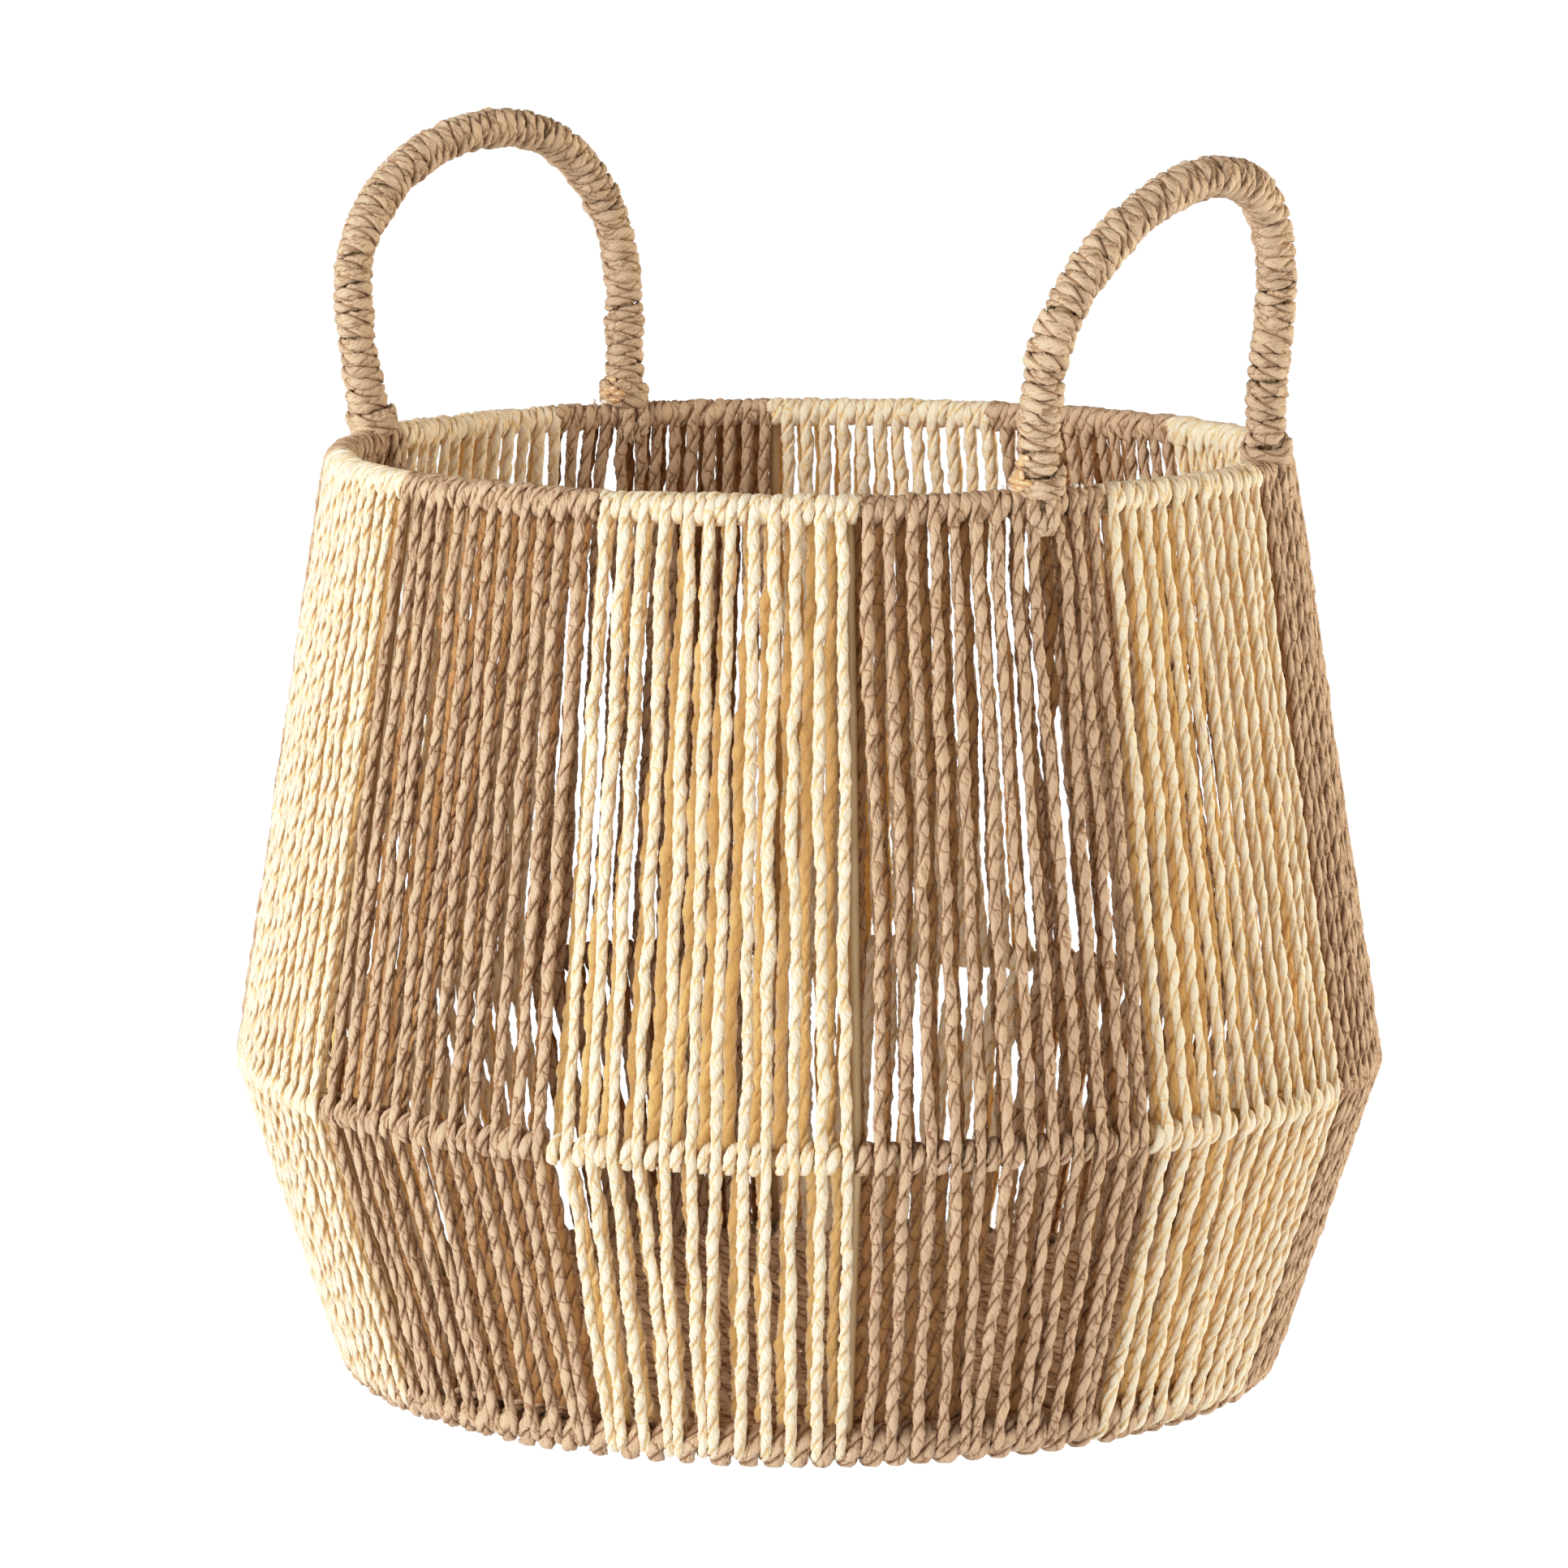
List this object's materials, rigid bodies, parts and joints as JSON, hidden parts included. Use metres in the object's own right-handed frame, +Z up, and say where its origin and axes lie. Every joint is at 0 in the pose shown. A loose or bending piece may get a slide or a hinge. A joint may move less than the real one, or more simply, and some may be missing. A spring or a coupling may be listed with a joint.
{
  "type": "laundry basket",
  "caption": "Round bellied laundry basket: twisted paper cord in cream and tan bands wound on a welded wire frame, with two arched cord-wrapped carrying handles and a woven floor.",
  "frame": {"origin": "on the floor, under the middle of the basket", "axes": "+Z up; +X from the middle of the basket towards the first handle; +Y completes a right-handed frame"},
  "size_m": [0.3994, 0.3994, 0.433],
  "materials": {
    "frame_paint": "smooth cream-beige paint on steel wire, semi-gloss",
    "cream_cord": "two-ply twisted paper cord, ivory with honey-coloured creases, matt with a slight sheen",
    "tan_cord": "two-ply twisted paper cord, mid tan with brown creases, matt",
    "handle_cord": "two-ply twisted paper cord, light tan, matt"
  },
  "bodies": {
    "root": {"rim_hoop": "frame_paint", "belly_hoop": "frame_paint", "base_hoop": "frame_paint", "upper_stay_1": "frame_paint", "upper_stay_2": "frame_paint", "upper_stay_3": "frame_paint", "upper_stay_4": "frame_paint", "upper_stay_5": "frame_paint", "upper_stay_6": "frame_paint", "lower_stay_1": "frame_paint", "lower_stay_2": "frame_paint", "lower_stay_3": "frame_paint", "lower_stay_4": "frame_paint", "lower_stay_5": "frame_paint", "lower_stay_6": "frame_paint", "floor_rib_1": "frame_paint", "floor_rib_2": "frame_paint", "floor_rib_3": "frame_paint", "floor_rib_4": "frame_paint", "floor_rib_5": "frame_paint", "handle_wire_1": "frame_paint", "handle_wire_2": "frame_paint", "cream_cord_panel_1": "cream_cord", "tan_cord_panel_1": "tan_cord", "cream_cord_panel_2": "cream_cord", "tan_cord_panel_2": "tan_cord", "cream_cord_panel_3": "cream_cord", "tan_cord_panel_3": "tan_cord", "cream_cord_panel_4": "cream_cord", "tan_cord_panel_4": "tan_cord", "cream_cord_panel_5": "cream_cord", "tan_cord_panel_5": "tan_cord", "cream_cord_panel_6": "cream_cord", "tan_cord_panel_6": "tan_cord", "base_whipping": "tan_cord", "floor_weave": "tan_cord", "handle_cord_1": "handle_cord", "handle_cord_2": "handle_cord", "foot_lashing_1": "handle_cord", "foot_lashing_2": "handle_cord", "foot_lashing_3": "handle_cord", "foot_lashing_4": "handle_cord"}
  },
  "joints": []
}
